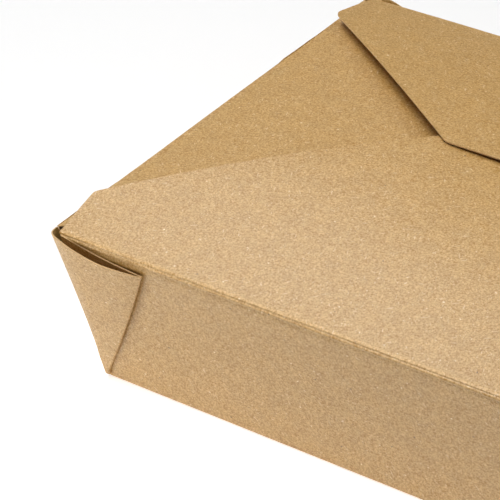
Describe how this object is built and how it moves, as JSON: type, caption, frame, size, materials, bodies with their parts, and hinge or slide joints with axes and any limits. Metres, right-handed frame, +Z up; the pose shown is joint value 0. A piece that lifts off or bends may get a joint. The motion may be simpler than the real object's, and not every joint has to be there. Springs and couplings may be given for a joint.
{
  "type": "takeaway food box",
  "caption": "Shut takeaway box folded from brown kraft board, with flared walls, gusseted corners and overlapping lid flaps held by a tucked tongue.",
  "frame": {"origin": "middle of the base, on the surface it stands on", "axes": "+X along the long walls, +Y from the front wall, whose flap is the lower one, to the back wall, +Z up"},
  "size_m": [0.216, 0.1634, 0.0578],
  "materials": {
    "kraft_board": "uncoated brown kraft board, matt and faintly mottled"
  },
  "bodies": {
    "root": {"carton": "kraft_board"}
  },
  "joints": []
}
